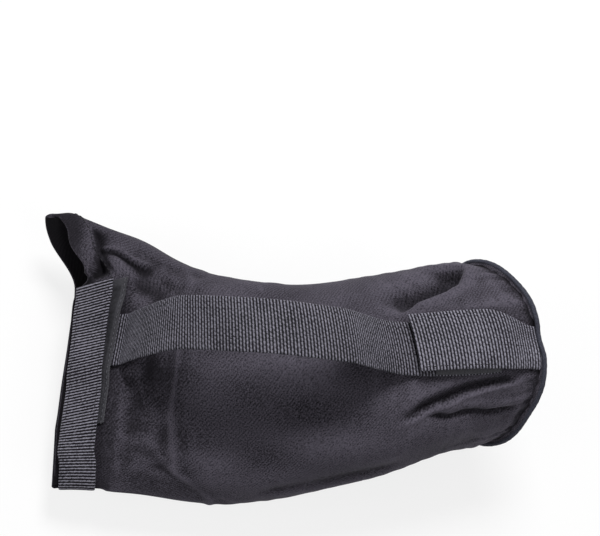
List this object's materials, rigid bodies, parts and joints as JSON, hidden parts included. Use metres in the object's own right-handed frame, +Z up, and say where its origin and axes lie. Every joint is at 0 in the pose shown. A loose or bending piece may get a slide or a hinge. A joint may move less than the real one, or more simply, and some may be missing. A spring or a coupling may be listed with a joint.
{
  "type": "sandbag",
  "caption": "Black fabric sandbag with a round piped base, a flat hemmed mouth closed by a webbing band, and a webbing hand strap that opens at a hook-and-loop tab.",
  "frame": {"origin": "middle of the flat underside on which the filled sack lies", "axes": "+X from the mouth to the round base, +Y across the sack, +Z up towards the hand strap"},
  "size_m": [0.2128, 0.1259, 0.0915],
  "materials": {
    "bag_fabric": "black coated plain weave",
    "piping_fabric": "black plain weave rolled over a cord",
    "webbing": "black ribbed webbing with a slight sheen",
    "loop_tape": "black napped loop tape",
    "hook_tape": "black moulded hooks",
    "cord": "plain cotton cord",
    "pouch_film": "translucent film",
    "tie": "plain",
    "sand": "dry fine sand"
  },
  "bodies": {
    "bag": {"body_panel": "bag_fabric", "base_panel": "bag_fabric", "piping_cover": "piping_fabric", "piping_cord": "cord", "closure_loop_tape": "loop_tape", "band_foot": "webbing", "strap_foot": "webbing", "inner_pouch": "pouch_film", "pouch_tie": "tie", "sand_fill": "sand"},
    "tab": {"strap_tab": "webbing", "tab_hook_tape": "hook_tape"},
    "strap": {"hand_strap": "webbing", "strap_loop_tape": "loop_tape"},
    "band": {"closure_band": "webbing", "closure_hook_tape": "hook_tape"}
  },
  "joints": [
    {"name": "strap_tab_peel", "type": "hinge", "parent": "bag", "child": "tab", "pos_m": [0.09494, 0.00161, 0.07521], "axis": [-0.1949, 0.9609, 0.1966], "range_deg": [0, 140]},
    {"name": "hand_strap_lift", "type": "hinge", "parent": "bag", "child": "strap", "pos_m": [-0.07416, 0.00619, 0.03357], "axis": [-0.1453, -0.9778, -0.1511], "range_deg": [0, 14]},
    {"name": "closure_band_peel", "type": "hinge", "parent": "bag", "child": "band", "pos_m": [-0.09377, -0.0427, 0.02478], "axis": [0.9297, -0.0115, 0.3682], "range_deg": [0, 150]}
  ],
  "couplings": [
    {"joint": "hand_strap_lift", "follows": "strap_tab_peel", "ratio": 0.1}
  ]
}
